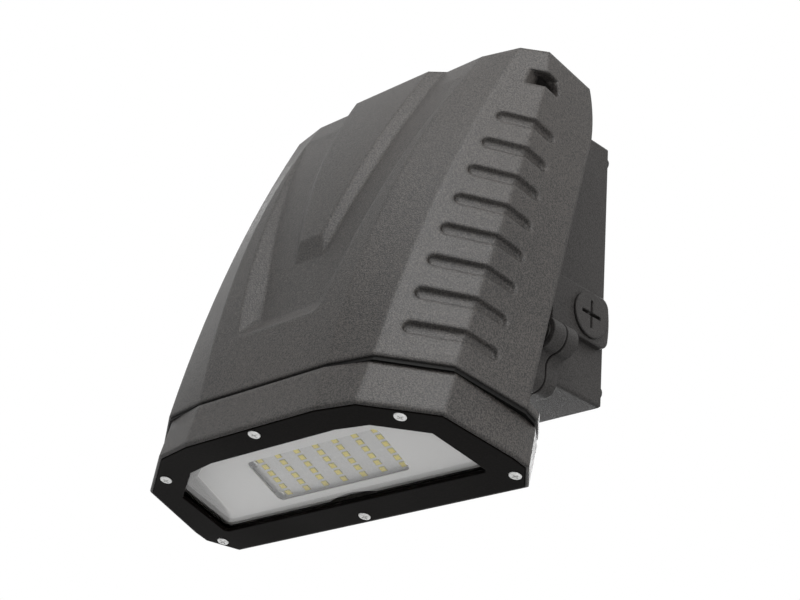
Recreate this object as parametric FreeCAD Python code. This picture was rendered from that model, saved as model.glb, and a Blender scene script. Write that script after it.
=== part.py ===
import FreeCAD, Part
import math
import os

# Outdoor wall pack light: a lamp head that tilts on a cast wall box.
# Millimetres.  Origin: centre of the wall box's back face, on the wall.
# +X is to the right seen from the front, +Y points into the wall, +Z is up.
#
# The head is drawn in its own frame and tilted as a whole at the end:
#   u  across the head (the same as X)
#   v  front to back, negative at the front
#   w  height above the lens plane, which faces down

# ---------------------------------------------------------------- wall box
BOX_HALF_W_BACK = 70.3       # half width on the wall
BOX_HALF_W_FRONT = 70.0      # half width at the front, narrower by the casting draft
BOX_HALF_H_BACK = 74.4
BOX_HALF_H_FRONT = 74.0
BOX_DEPTH = 45.2
BOX_WALL = 4.0
BOX_EDGE_R = 1.8
WALL_GASKET_T = 1.5
WALL_GASKET_INSET = 1.2
GASKET_TAB_R = 4.0           # round tabs that locate the wall gasket
GASKET_TAB_Z = 66.0
GASKET_TAB_INSET = 0.3
WIRE_HOLE_R = 11.0           # wire entry in the back wall
WIRE_HOLE_Z = -20.0
SURFACE_HOLE_R = 2.75        # holes for wall screws
GANG_SPACING = 83.3          # upright pair, single-gang box
OCTAGON_SPACING = 88.9       # level pair, octagon box
CORNER_SPACING = 110.0       # four corner holes, direct wall fixing

# conduit entries in the two sides
EAR_PROUD = 4.3
EAR_HALF_H = 13.8
EAR_Z = -31.5
EAR_END_R = 60.0
EAR_CORNER_R = 5.5
EAR_END_GAP = 0.1            # from the round end to the box's back face
PLUG_Y = -18.6
PLUG_HOLE_R = 10.5
PLUG_CAP_R = 12.25
PLUG_CAP_T = 1.3
PLUG_SEAL_T = 0.5
PLUG_SHANK_L = 12.0
PLUG_END_T = 3.0             # solid end of the plug behind its cap
PLUG_SLOT_L = 15.0
PLUG_SLOT_W = 2.0
PLUG_SLOT_DEPTH = 2.6
PLUG_CLEAR = 0.15
PLUG_BORE_R = 7.0

# bolted lugs at the lower corners
LUG_X = 76.3
LUG_Z = -55.5
LUG_R = 8.5
LUG_NECK_R = 5.5
LIP_PROUD = 2.3              # lip under the box and its cover, beyond the side and below the bottom
LIP_DROP = 7.5
LIP_CORNER_R = 7.0
BOX_LUG_T = 8.0
COVER_LUG_T = 8.7
COVER_BOLT_R = 3.0
COVER_BOLT_HEAD_AF = 10.0
COVER_BOLT_HEAD_T = 4.0
COVER_WASHER_R = 6.2
COVER_WASHER_T = 1.2

# cover of the box, with the two tilt arms
COVER_GASKET_T = 1.3
COVER_GASKET_INSET = 1.5
COVER_PLATE_T = 4.0
HOOK_X = 40.0
HOOK_W = 16.0
HOOK_T = 3.0
HOOK_REACH = 10.0
ARM_X = 30.0                 # inner face of each tilt arm
ARM_T = 8.0
ARM_R = 10.0
ARM_ROOT_DROP = 12.0         # how far the arm's root runs down below its round end
COVER_BUSHING_Z = 18.0
BUSHING_R = 7.0
BUSHING_HOLE_R = 3.4
BUSHING_LIP = 2.0
BUSHING_LIP_T = 2.0

# things inside the box
TERMINAL_W = 42.0
TERMINAL_H = 20.0
TERMINAL_D = 16.0
TERMINAL_Z = 40.0
TERMINAL_PAD_T = 3.0
TERMINAL_WAYS = 3
TERMINAL_SCREW_R = 2.4
GROUND_X = -38.0
GROUND_Z = -45.0
GROUND_BOSS_R = 5.0
GROUND_BOSS_T = 6.0
GROUND_HEAD_R = 4.0
GROUND_HEAD_T = 2.4
GROUND_SHANK_R = 2.0

# ---------------------------------------------------------------- tilt pivot
PIVOT_Y = -71.1
PIVOT_Z = 50.4
PIVOT_V = -33.1
PIVOT_W = 193.6
HEAD_TILT = 13.2             # degrees; the lens looks slightly away from the wall
PIVOT_R = 4.0
PIVOT_CLEAR = 0.06
ARM_HOLE_CLEAR = 0.15
FRICTION_T = 1.0
FRICTION_R = 9.0
SIDE_PLAY = 0.1
HEAD_LUG_T = 8.0
HEAD_LUG_R = 10.0
PIVOT_WASHER_T = 1.2
PIVOT_WASHER_R = 8.0
PIVOT_HEAD_AF = 13.0
PIVOT_HEAD_T = 5.3
PIVOT_NUT_T = 6.3

# ---------------------------------------------------------------- upper housing
HOUSING_W0 = 24.0            # lower edge, above the seam
HOUSING_W1 = 226.0           # top
FRONT_V = -89.6              # foremost line of the front face
FRONT_PEAK_W = 72.0
FRONT_R = 444.0              # radius of the front face's long curve
CORNER_V = -83.8             # corner edge between front and ribbed facet
CORNER_START_W = 20.0
CORNER_R = 837.0
FACE_U0 = 42.8               # half widths of the long edges, at the lower edge and at the top
FACE_U1 = 58.9
CORNER_U0 = 69.0
CORNER_U1 = 80.6
RIB_U0 = 98.4
RIB_U1 = 94.9
RIB_V0 = -62.4
RIB_V1 = -45.9
RIB_LEAN_W = 170.0           # above this height the rib edge leans inward and forward
RIB_LEAN_U = 2.8
RIB_LEAN_V = 3.0
SIDE_U0 = 107.6
SIDE_U1 = 94.9
SIDE_V0 = -23.4
SIDE_V1 = -8.5
CHEEK_CORNER_W = 192.0       # where the cheeks' upper rear corner starts to round off
CHEEK_CORNER_R = 88.0
WALL_FRONT = 9.2             # leaves a full wall behind the sunk panel
WALL_SIDE = 5.4              # leaves a full wall behind the grooves
WALL_TOP = 4.0
NOTCH_V = -46.0              # the top is cut away behind this line for the tilt arms
NOTCH_HALF_W = 74.0
BAND_T = 4.0                 # flat band around the housing's lower edge
BAND_WIDTH = 9.0
BAND_REAR_V = -1.5
BAND_REAR_U = 95.9
BAND_SIDE_U = 106.2
BAND_SIDE_V = -14.4
LEDGE_V = -53.0              # ledge that carries the rear cover
LEDGE_T = 4.0
LEDGE_W0 = 38.0
LEDGE_W1 = 184.0
SHELF_W = 196.0
SHELF_T = 3.5

# sunk panel of the front face, with the raised tongue inside
PANEL_W0 = 60.5
PANEL_HALF_0 = 28.6
PANEL_FLARE = 0.25
PANEL_FOOT_W = 55.1          # where its lower bevel meets the face
PANEL_FOOT_BEVEL = 2.05
PANEL_FOOT_TOP_W = 95.0      # above this the panel has its side bevels alone
PANEL_DEPTH = 5.6
PANEL_RISE_W = 90.0          # from here its floor rises to meet the face
PANEL_FADE_W = 210.0
PANEL_BEVEL = 1.7
PANEL_CORNER_R = 7.0
TONGUE_W0 = 98.5
TONGUE_TOE_W = 110.0
TONGUE_RISE = 5.2
TONGUE_BEVEL = 1.75
TONGUE_TOE_HALF = 7.4

# grooves across the ribbed facet and the side
GROOVE_COUNT = 8
GROOVE_W0 = 41.0
GROOVE_PITCH = 19.15
GROOVE_HALF_H = 3.4
GROOVE_DEPTH = 2.6
GROOVE_SLOPE = 0.35          # how far its walls lean out over each millimetre of depth
GROOVE_FRONT_V0 = -78.6      # front end of the lowest groove
GROOVE_FRONT_STEP = 0.55     # the front ends then follow the bowed corner edge
GROOVE_FRONT_BOW = 0.22
GROOVE_REAR_V0 = -42.2
GROOVE_REAR_V1 = -35.6

# openings through the two upper corners
PORT_W = 206.6
PORT_HALF_H = 5.2
PORT_SLOPE = 0.9
PORT_LOW_R = 2.2             # lower round of its rear end
PORT_FRONT_V = -55.2
PORT_REAR_V = -38.4

# ---------------------------------------------------------------- lower housing
RING_H = 22.0
RING_BOTTOM = [(43.0, -87.0), (65.5, -83.7), (98.0, -61.5), (106.3, -23.0), (106.8, -14.0), (95.4, 0.0)]
RING_TOP = [(42.4, -87.0), (67.0, -82.4), (97.3, -60.3), (104.1, -22.6), (103.8, -12.3), (95.0, 0.0)]
RING_EDGE = 0.8
DECK_T = 2.5
CAVITY_GAP = 2.0             # cavity wall outside the lens opening
SEAM_T = 2.0
SEAM_INSET = 1.0             # its outer edge, inside the upper housing's
SEAM_LAP = 7.2               # its inner edge, inside the ring's
FIN_COUNT = 17
FIN_PITCH = 10.4
FIN_T = 2.4
FIN_H = 30.0
FIN_V0 = -42.0
FIN_V1 = -12.0

# lens frame, lens and its seal
FRAME_GAP = 1.8              # from the ring's outline to the frame's
FRAME_SIDE_GAP = 0.4
FRAME_T = 2.0
FRAME_PROUD = 0.3
OPENING = [(41.5, -70.3), (60.0, -67.4), (83.2, -51.7), (87.0, -17.8)]
OPENING_REAR_R = 2.5
GLASS_T = 3.0
GLASS_LAP = 5.0
GLASS_CLEAR = 0.6
SEAL_LIP = 0.6
LENS_SCREWS = [(96.7, -11.0), (0.0, -6.0), (0.0, -81.3), (78.2, -67.4)]
LENS_SCREW_HEAD_R = 3.0
LENS_SCREW_HEAD_T = 1.4
LENS_SCREW_R = 1.75
LENS_SCREW_L = 12.0
BODY_SCREWS = [(97.5, -36.0), (34.0, -80.5), (50.0, -6.2)]
BODY_SCREW_R = 2.0
BODY_SCREW_HEAD_R = 3.5
BODY_SCREW_HEAD_T = 3.0
BODY_SCREW_END_W = 33.0
BODY_BOSS_R = 4.4
SCREW_CLEAR = 0.25

# light engine
LED_TILT = math.degrees(math.atan(0.2256))
LED_V = -35.45               # middle of the array
LED_W = 13.9                 # light-giving face at the middle of the array
LED_COLS = 7
LED_ROWS = 6
LED_PITCH_U = 12.8
LED_PITCH_V = 4.53
LED_SIZE_U = 3.5
LED_SIZE_V = 3.0
LED_H = 0.5
BOARD_T = 1.2
BOARD_HALF_U = 46.0
BOARD_HALF_V = 17.0
BOARD_SCREW_U = 43.2
BOARD_SCREW_V = 11.0
BOARD_SCREW_R = 1.5
BOARD_SCREW_HEAD_R = 2.6
BOARD_SCREW_HEAD_T = 1.2
TRAY_T = 1.0
TRAY_DROP = 3.0              # tray floor below the light-giving faces
TRAY_FLOOR = [(40.0, -66.5), (56.0, -63.6), (79.0, -50.0), (79.0, -21.8)]
TRAY_GAP = 0.5
TRAY_WINDOW_HALF_U = 43.8
TRAY_WINDOW_V0 = -50.0
TRAY_WINDOW_V1 = -23.4
TRAY_WINDOW_R = 3.0
TRAY_RIM_W = 6.5
TRAY_RELIEF_R = 47.0         # shallow relief of the rear rim round the middle lens screw's boss
TRAY_RELIEF_V = -18.9

# driver and protection
DRIVER_L = 118.0
DRIVER_H = 44.0
DRIVER_D = 22.0
DRIVER_W = 78.0
DRIVER_FOOT = 10.0
DRIVER_FOOT_T = 2.0
DRIVER_SIDE_GAP = 5.0        # from the driver's feet to the ledge round the opening
DRIVER_SCREW_R = 2.0
SURGE_L = 46.0
SURGE_H = 24.0
SURGE_D = 16.0
SURGE_W = 132.0

# rear cover of the head
COVER_LAP = 7.0              # from the edge of the opening to the rear cover's
COVER_W0 = 31.0
COVER_W1 = 202.0
REAR_COVER_T = 3.4
REAR_GASKET_T = 1.0
REAR_SCREW_R = 2.0
REAR_SCREW_HEAD_R = 3.6
REAR_SCREW_HEAD_T = 2.2
REAR_SCREW_L = 9.0
REAR_SCREW_INSET = 3.5
REAR_SCREW_SIDE_W = (40.0, 112.0, 180.0)
REAR_SCREW_LOW = (26.0, 34.6)
HEAD_BUSHING_W = 162.0
VENT_U = 48.0
VENT_W = 60.0
VENT_R = 5.5
VENT_T = 3.0

# ---------------------------------------------------------------- derived places
BOX_BACK_Y = -WALL_GASKET_T
BOX_FRONT_Y = BOX_BACK_Y - BOX_DEPTH
COVER_BACK_Y = BOX_FRONT_Y - COVER_GASKET_T
COVER_FRONT_Y = COVER_BACK_Y - COVER_LUG_T
EAR_X = BOX_HALF_W_BACK + EAR_PROUD
ARM_OUT_X = ARM_X + ARM_T
HEAD_LUG_X = ARM_OUT_X + FRICTION_T + SIDE_PLAY
HEAD_LUG_OUT_X = HEAD_LUG_X + HEAD_LUG_T
FRAME_W0 = -FRAME_PROUD
FRAME_W1 = FRAME_W0 + FRAME_T
LEDGE_HALF_W = DRIVER_L / 2 + DRIVER_FOOT + DRIVER_SIDE_GAP
COVER_HALF_U = LEDGE_HALF_W + COVER_LAP
REAR_SCREWS = [(COVER_HALF_U - REAR_SCREW_INSET, w) for w in REAR_SCREW_SIDE_W] + [REAR_SCREW_LOW]
GLASS_W0 = FRAME_W1 + SEAL_LIP
GLASS_W1 = GLASS_W0 + GLASS_T
SEAL_W1 = GLASS_W1 + SEAL_LIP
DECK_W = RING_H - DECK_T
REAR_GASKET_V = LEDGE_V + LEDGE_T
REAR_COVER_V = REAR_GASKET_V + REAR_GASKET_T
REAR_FACE_V = REAR_COVER_V + REAR_COVER_T

V = FreeCAD.Vector
AXIS_X = V(1, 0, 0)
AXIS_Y = V(0, 1, 0)
AXIS_Z = V(0, 0, 1)
FAR = 300.0                  # reach of cutting tools that run right through


def fuse(shapes):
    result = shapes[0]
    if len(shapes) > 1:
        result = result.multiFuse(shapes[1:])
    return result.removeSplitter()


def box(x0, x1, y0, y1, z0, z1):
    return Part.makeBox(x1 - x0, y1 - y0, z1 - z0, V(x0, y0, z0))


def mirror_x(shape):
    return shape.mirror(V(0, 0, 0), AXIS_X)


def both_sides(shape):
    return [shape, mirror_x(shape)]


def full_outline(half):
    """Close a right-hand half outline, listed from the front to the rear, to both sides."""
    left = [(-u, v) for u, v in reversed(half)]
    return left + list(half)


def offset_outline(points, distances):
    """Move each side of a closed outline outward by its own distance (negative is inward)."""
    count = len(points)
    area = sum(points[i][0] * points[(i + 1) % count][1] - points[(i + 1) % count][0] * points[i][1]
               for i in range(count))
    turn = 1.0 if area > 0 else -1.0
    lines = []
    for i in range(count):
        ax, ay = points[i]
        bx, by = points[(i + 1) % count]
        length = math.hypot(bx - ax, by - ay)
        nx = turn * (by - ay) / length
        ny = -turn * (bx - ax) / length
        lines.append((nx, ny, nx * ax + ny * ay + distances[i]))
    result = []
    for i in range(count):
        n1x, n1y, c1 = lines[i - 1]
        n2x, n2y, c2 = lines[i]
        det = n1x * n2y - n1y * n2x
        result.append(((c1 * n2y - c2 * n1y) / det, (n1x * c2 - n2x * c1) / det))
    return result


def grow(points, distance):
    return offset_outline(points, [distance] * len(points))


def level_wire(points, w):
    corners = [V(u, v, w) for u, v in points]
    return Part.makePolygon(corners + corners[:1])


def prism(points, w0, w1):
    return Part.Face(level_wire(points, w0)).extrude(V(0, 0, w1 - w0))


def upright_edges(shape, points, tolerance=0.01):
    """The edges of a prism that stand on the given outline points."""
    found = []
    for edge in shape.Edges:
        ends = [vertex.Point for vertex in edge.Vertexes]
        if len(ends) == 2 and abs(ends[0].z - ends[1].z) > tolerance:
            for u, v in points:
                if abs(ends[0].x - u) < tolerance and abs(ends[0].y - v) < tolerance:
                    found.append(edge)
                    break
    return found


def hex_prism(across_flats, height):
    radius = across_flats / math.sqrt(3.0)
    corners = [V(radius * math.cos(math.radians(a)), radius * math.sin(math.radians(a)), 0)
               for a in range(0, 360, 60)]
    return Part.Face(Part.makePolygon(corners + corners[:1])).extrude(V(0, 0, height))


def along(shape, direction, place):
    """Turn a shape drawn along +Z to a direction, then move it to a place."""
    turned = shape.copy()
    turned.Placement = FreeCAD.Placement(place, FreeCAD.Rotation(AXIS_Z, direction))
    return turned


def rod(radius, start, direction, length):
    return Part.makeCylinder(radius, length, start, direction)


def ring(outer, inner, start, direction, length):
    return rod(outer, start, direction, length).cut(rod(inner, start, direction, length))


def place_head(shape):
    """Set a piece drawn in the head's frame on the pivot, at the head's tilt."""
    placed = shape.copy()
    placed.translate(V(0, -PIVOT_V, -PIVOT_W))
    placed.rotate(V(0, 0, 0), AXIS_X, -HEAD_TILT)
    placed.translate(V(0, PIVOT_Y, PIVOT_Z))
    return placed


def tilt_to_leds(shape):
    """Turn a piece drawn level about the middle of the array to the light engine's own tilt."""
    placed = shape.copy()
    placed.rotate(V(0, 0, 0), AXIS_X, -LED_TILT)
    placed.translate(V(0, LED_V, LED_W))
    return placed


def save(name, shape):
    shape.exportStep("parts/" + name + ".step")


# ---------------------------------------------------------------- wall side
def draft_block(grow_by, y0, y1):
    """A block between two depths that follows the box's tapered outline."""
    wires = []
    for y in (y0, y1):
        share = (BOX_BACK_Y - y) / BOX_DEPTH
        half_w = BOX_HALF_W_BACK + share * (BOX_HALF_W_FRONT - BOX_HALF_W_BACK) + grow_by
        half_h = BOX_HALF_H_BACK + share * (BOX_HALF_H_FRONT - BOX_HALF_H_BACK) + grow_by
        corners = [V(-half_w, y, -half_h), V(half_w, y, -half_h), V(half_w, y, half_h), V(-half_w, y, half_h)]
        wires.append(Part.makePolygon(corners + corners[:1]))
    return Part.makeLoft(wires, True, True)


def rounded_block(grow_by, y0, y1, radius):
    block = draft_block(grow_by, y0, y1)
    edges = [e for e in block.Edges if abs(e.Vertexes[0].Y - e.Vertexes[1].Y) > 0.5 * abs(y1 - y0)]
    return block.makeFillet(radius, edges)


def neck(x_side, turn):
    """Concave round between the lug and a side at x_side, above (1) or below (-1) the lug."""
    neck_x = x_side + LUG_NECK_R
    reach = LUG_R + LUG_NECK_R
    rise = math.sqrt(reach ** 2 - (neck_x - LUG_X) ** 2)
    share = LUG_R / reach
    slant = LUG_NECK_R * math.sqrt(0.5)
    touch = V(LUG_X + (neck_x - LUG_X) * share, 0, LUG_Z + turn * rise * share)
    middle = V(neck_x - slant, 0, LUG_Z + turn * (rise - slant))
    end = V(x_side, 0, LUG_Z + turn * rise)
    return touch, middle, end


def lug_profile():
    """A round lug that flows into the box's side above it and into the lip below it."""
    top_touch, top_mid, top_end = neck(BOX_HALF_W_FRONT, 1)
    low_touch, low_mid, low_end = neck(BOX_HALF_W_FRONT + LIP_PROUD, -1)
    root_x = BOX_HALF_W_FRONT - BOX_WALL
    edges = [
        Part.Arc(low_touch, V(LUG_X + LUG_R, 0, LUG_Z), top_touch).toShape(),
        Part.Arc(top_touch, top_mid, top_end).toShape(),
        Part.LineSegment(top_end, V(root_x, 0, top_end.z)).toShape(),
        Part.LineSegment(V(root_x, 0, top_end.z), V(root_x, 0, low_end.z)).toShape(),
        Part.LineSegment(V(root_x, 0, low_end.z), low_end).toShape(),
        Part.Arc(low_end, low_mid, low_touch).toShape(),
    ]
    return Part.Face(Part.Wire(edges))


def lug(y_back, thickness):
    solid = lug_profile().extrude(V(0, -thickness, 0))
    solid.translate(V(0, y_back, 0))
    return solid


def lip(y_back, thickness):
    """Bar along the bottom edge, from lug to lug, that throws off the rain."""
    x = BOX_HALF_W_FRONT + LIP_PROUD
    low = -BOX_HALF_H_FRONT - LIP_DROP
    low_end = neck(x, -1)[2]
    bar = box(-x, x, y_back - thickness, y_back, low, low_end.z)
    corners = [e for e in bar.Edges if abs(e.Vertexes[0].Y - e.Vertexes[1].Y) > 1.0
               and e.Vertexes[0].Z < low + 0.01]
    bar = bar.makeFillet(LIP_CORNER_R, corners)
    inner = BOX_HALF_W_FRONT - BOX_WALL
    return bar.cut(box(-inner, inner, -FAR, FAR, -BOX_HALF_H_FRONT + BOX_WALL, FAR))


def conduit_ear():
    """Raised pad for a conduit entry, round at its wall end, with its inner pad."""
    end_y = BOX_BACK_Y - EAR_END_GAP
    sagitta = EAR_END_R - math.sqrt(EAR_END_R ** 2 - EAR_HALF_H ** 2)
    z0 = EAR_Z - EAR_HALF_H
    z1 = EAR_Z + EAR_HALF_H
    start = BOX_FRONT_Y
    inner_x = BOX_HALF_W_FRONT - 2.0 * BOX_WALL
    corner_y = end_y - sagitta
    edges = [
        Part.LineSegment(V(inner_x, start, z0), V(inner_x, end_y - sagitta, z0)).toShape(),
        Part.Arc(V(inner_x, end_y - sagitta, z0), V(inner_x, end_y, EAR_Z),
                 V(inner_x, end_y - sagitta, z1)).toShape(),
        Part.LineSegment(V(inner_x, end_y - sagitta, z1), V(inner_x, start, z1)).toShape(),
        Part.LineSegment(V(inner_x, start, z1), V(inner_x, start, z0)).toShape(),
    ]
    pad = Part.Face(Part.Wire(edges)).extrude(V(EAR_X - inner_x, 0, 0))
    corners = [e for e in pad.Edges if all(abs(vertex.Y - corner_y) < 0.01 for vertex in e.Vertexes)
               and abs(e.Vertexes[0].X - e.Vertexes[-1].X) > 1.0]
    pad = pad.makeFillet(EAR_CORNER_R, corners)
    rim = [e for e in pad.Edges
           if all(abs(vertex.X - EAR_X) < 0.01 for vertex in e.Vertexes)
           and not all(abs(vertex.Y - start) < 0.01 for vertex in e.Vertexes)]
    return pad.makeFillet(1.0, rim)


def wall_box():
    body = rounded_block(0.0, BOX_BACK_Y, BOX_FRONT_Y, BOX_EDGE_R)
    pieces = [body]
    pieces += both_sides(conduit_ear())
    pieces += both_sides(lug(BOX_FRONT_Y + BOX_LUG_T, BOX_LUG_T))
    pieces.append(lip(BOX_FRONT_Y + BOX_LUG_T, BOX_LUG_T))
    shell = fuse(pieces)
    hollow = draft_block(-BOX_WALL, BOX_BACK_Y - BOX_WALL, BOX_FRONT_Y - 1.0)
    inner_x = BOX_HALF_W_FRONT - 2.0 * BOX_WALL
    pads = box(inner_x, FAR, -FAR, 0, EAR_Z - EAR_HALF_H, EAR_Z + EAR_HALF_H)
    hollow = hollow.cut(fuse(both_sides(pads)))
    shell = shell.cut(hollow)
    terminal_pad = box(-TERMINAL_W / 2 - 2, TERMINAL_W / 2 + 2, BOX_BACK_Y - BOX_WALL - TERMINAL_PAD_T,
                       BOX_BACK_Y - BOX_WALL + 1, TERMINAL_Z - TERMINAL_H / 2, TERMINAL_Z + TERMINAL_H / 2)
    inner_y = BOX_BACK_Y - BOX_WALL
    ground_boss = rod(GROUND_BOSS_R, V(GROUND_X, inner_y + 1, GROUND_Z), V(0, -1, 0), GROUND_BOSS_T + 1)
    shell = fuse([shell, terminal_pad, ground_boss])
    cuts = [rod(WIRE_HOLE_R, V(0, 1, WIRE_HOLE_Z), V(0, -1, 0), 2 * BOX_WALL)]
    cuts.append(rod(GROUND_SHANK_R, V(GROUND_X, inner_y, GROUND_Z), V(0, -1, 0), FAR))
    for x, z in surface_holes():
        cuts.append(rod(SURFACE_HOLE_R, V(x, 1, z), V(0, -1, 0), 2 * BOX_WALL + 2))
    for sign in (1, -1):
        cuts.append(rod(PLUG_HOLE_R, V(0, PLUG_Y, EAR_Z), V(sign, 0, 0), FAR))
        cuts.append(rod(COVER_BOLT_R + 0.05, V(sign * LUG_X, 0, LUG_Z), V(0, -1, 0), FAR))
    return shell.cut(fuse_tools(cuts))


def fuse_tools(tools):
    return tools[0].multiFuse(tools[1:]) if len(tools) > 1 else tools[0]


def surface_holes():
    half = CORNER_SPACING / 2
    holes = [(0, GANG_SPACING / 2), (0, -GANG_SPACING / 2)]
    holes += [(OCTAGON_SPACING / 2, 0), (-OCTAGON_SPACING / 2, 0)]
    holes += [(sx * half, sz * half) for sx in (1, -1) for sz in (1, -1)]
    return holes


def wall_gasket():
    half_w = BOX_HALF_W_BACK - WALL_GASKET_INSET
    half_h = BOX_HALF_H_BACK - WALL_GASKET_INSET
    pad = box(-half_w, half_w, BOX_BACK_Y, 0, -half_h, half_h)
    tab_x = BOX_HALF_W_BACK - GASKET_TAB_INSET - GASKET_TAB_R
    tabs = [rod(GASKET_TAB_R, V(sx * tab_x, BOX_BACK_Y, sz * GASKET_TAB_Z), AXIS_Y, WALL_GASKET_T)
            for sx in (1, -1) for sz in (1, -1)]
    pad = fuse([pad] + tabs)
    cuts = [rod(WIRE_HOLE_R + 1.0, V(0, -FAR / 2, WIRE_HOLE_Z), AXIS_Y, FAR)]
    for x, z in surface_holes():
        cuts.append(rod(SURFACE_HOLE_R + 0.5, V(x, -FAR / 2, z), AXIS_Y, FAR))
    return pad.cut(fuse_tools(cuts))


def conduit_plug():
    """Screwed closing plug of the right-hand entry, with a cross slot."""
    seat_x = EAR_X + PLUG_SEAL_T
    centre = V(seat_x, PLUG_Y, EAR_Z)
    cap = rod(PLUG_CAP_R, centre, AXIS_X, PLUG_CAP_T)
    rim = [e for e in cap.Edges if abs(e.BoundBox.XMin - seat_x - PLUG_CAP_T) < 0.01]
    cap = cap.makeChamfer(0.3, rim)
    shank = rod(PLUG_HOLE_R - PLUG_CLEAR, V(seat_x - PLUG_SHANK_L, PLUG_Y, EAR_Z), AXIS_X, PLUG_SHANK_L)
    hollow = rod(PLUG_BORE_R, V(seat_x - PLUG_SHANK_L, PLUG_Y, EAR_Z), AXIS_X,
                 PLUG_SHANK_L - PLUG_END_T)
    x0 = seat_x + PLUG_CAP_T - PLUG_SLOT_DEPTH
    half = PLUG_SLOT_L / 2
    slot_w = PLUG_SLOT_W / 2
    upright = box(x0, FAR, PLUG_Y - slot_w, PLUG_Y + slot_w, EAR_Z - half, EAR_Z + half)
    level = box(x0, FAR, PLUG_Y - half, PLUG_Y + half, EAR_Z - slot_w, EAR_Z + slot_w)
    return fuse([cap, shank]).cut(hollow).cut(upright).cut(level)


def plug_seals():
    seal = ring(PLUG_CAP_R - 0.3, PLUG_HOLE_R, V(EAR_X, PLUG_Y, EAR_Z), AXIS_X, PLUG_SEAL_T)
    return Part.makeCompound(both_sides(seal))


def cover_gasket():
    outer = draft_block(-COVER_GASKET_INSET, BOX_FRONT_Y, COVER_BACK_Y)
    inner = draft_block(-BOX_WALL, BOX_FRONT_Y + 1.0, COVER_BACK_Y - 1.0)
    return outer.cut(inner)


def tilt_arm():
    """Right-hand arm: a round end on the pivot with a gusset down the cover's face."""
    end = rod(ARM_R, V(ARM_X, PIVOT_Y, PIVOT_Z), AXIS_X, ARM_T)
    root_y = COVER_FRONT_Y + 1.0
    profile = [V(ARM_X, PIVOT_Y, PIVOT_Z + ARM_R), V(ARM_X, root_y, PIVOT_Z + ARM_R),
               V(ARM_X, root_y, PIVOT_Z - ARM_R - ARM_ROOT_DROP), V(ARM_X, PIVOT_Y, PIVOT_Z - ARM_R)]
    web = Part.Face(Part.makePolygon(profile + profile[:1])).extrude(V(ARM_T, 0, 0))
    return end.fuse(web)


def box_cover():
    plate = rounded_block(0.0, COVER_BACK_Y, COVER_FRONT_Y, BOX_EDGE_R)
    hollow = draft_block(-BOX_WALL, COVER_BACK_Y + 1.0, COVER_FRONT_Y + COVER_PLATE_T)
    pieces = [plate]
    pieces += both_sides(lug(COVER_BACK_Y, COVER_LUG_T))
    pieces.append(lip(COVER_BACK_Y, COVER_LUG_T))
    pieces += both_sides(tilt_arm())
    cover = fuse(pieces).cut(hollow)
    hook_top = BOX_HALF_H_FRONT - BOX_WALL - 0.4
    hooks = [box(x - HOOK_W / 2, x + HOOK_W / 2, COVER_FRONT_Y + 1.0, BOX_FRONT_Y + HOOK_REACH,
                 hook_top - HOOK_T, hook_top) for x in (HOOK_X, -HOOK_X)]
    cover = fuse([cover] + hooks)
    cuts = [rod(BUSHING_R, V(0, 0, COVER_BUSHING_Z), V(0, -1, 0), FAR)]
    for sign in (1, -1):
        cuts.append(rod(COVER_BOLT_R + SCREW_CLEAR, V(sign * LUG_X, 0, LUG_Z), V(0, -1, 0), FAR))
    cuts.append(rod(PIVOT_R + ARM_HOLE_CLEAR, V(-FAR / 2, PIVOT_Y, PIVOT_Z), AXIS_X, FAR))
    return cover.cut(fuse_tools(cuts))


def cover_bolt():
    head_y = COVER_FRONT_Y - COVER_WASHER_T
    head = along(hex_prism(COVER_BOLT_HEAD_AF, COVER_BOLT_HEAD_T), V(0, -1, 0), V(LUG_X, head_y, LUG_Z))
    shank = rod(COVER_BOLT_R, V(LUG_X, head_y, LUG_Z), AXIS_Y, BOX_FRONT_Y + BOX_LUG_T - 1.0 - head_y)
    return fuse([head, shank])


def cover_washer():
    return ring(COVER_WASHER_R, COVER_BOLT_R + SCREW_CLEAR, V(LUG_X, COVER_FRONT_Y, LUG_Z), V(0, -1, 0),
                COVER_WASHER_T)


def bushing(front, direction, thickness):
    """Rubber bushing through a plate; front is the centre of the plate's outer face."""
    back = front - direction * (thickness + BUSHING_LIP_T)
    body = rod(BUSHING_R - 0.1, back, direction, thickness + 2 * BUSHING_LIP_T)
    lips = [rod(BUSHING_R + BUSHING_LIP, front, direction, BUSHING_LIP_T),
            rod(BUSHING_R + BUSHING_LIP, back, direction, BUSHING_LIP_T)]
    hole = rod(BUSHING_HOLE_R, back - direction, direction, thickness + 2 * BUSHING_LIP_T + 2)
    return fuse([body] + lips).cut(hole)


def terminal_block():
    back_y = BOX_BACK_Y - BOX_WALL - TERMINAL_PAD_T
    block = box(-TERMINAL_W / 2, TERMINAL_W / 2, back_y - TERMINAL_D, back_y,
                TERMINAL_Z - TERMINAL_H / 2, TERMINAL_Z + TERMINAL_H / 2)
    pitch = TERMINAL_W / TERMINAL_WAYS
    cuts = []
    for way in range(TERMINAL_WAYS):
        x = (way - (TERMINAL_WAYS - 1) / 2) * pitch
        cuts.append(rod(TERMINAL_SCREW_R, V(x, back_y - TERMINAL_D + 8.0, TERMINAL_Z), V(0, -1, 0), FAR))
        cuts.append(box(x - 2.2, x + 2.2, back_y - 9.0, back_y - 4.0,
                        TERMINAL_Z - TERMINAL_H, TERMINAL_Z + TERMINAL_H))
    return block.cut(fuse_tools(cuts))


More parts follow.
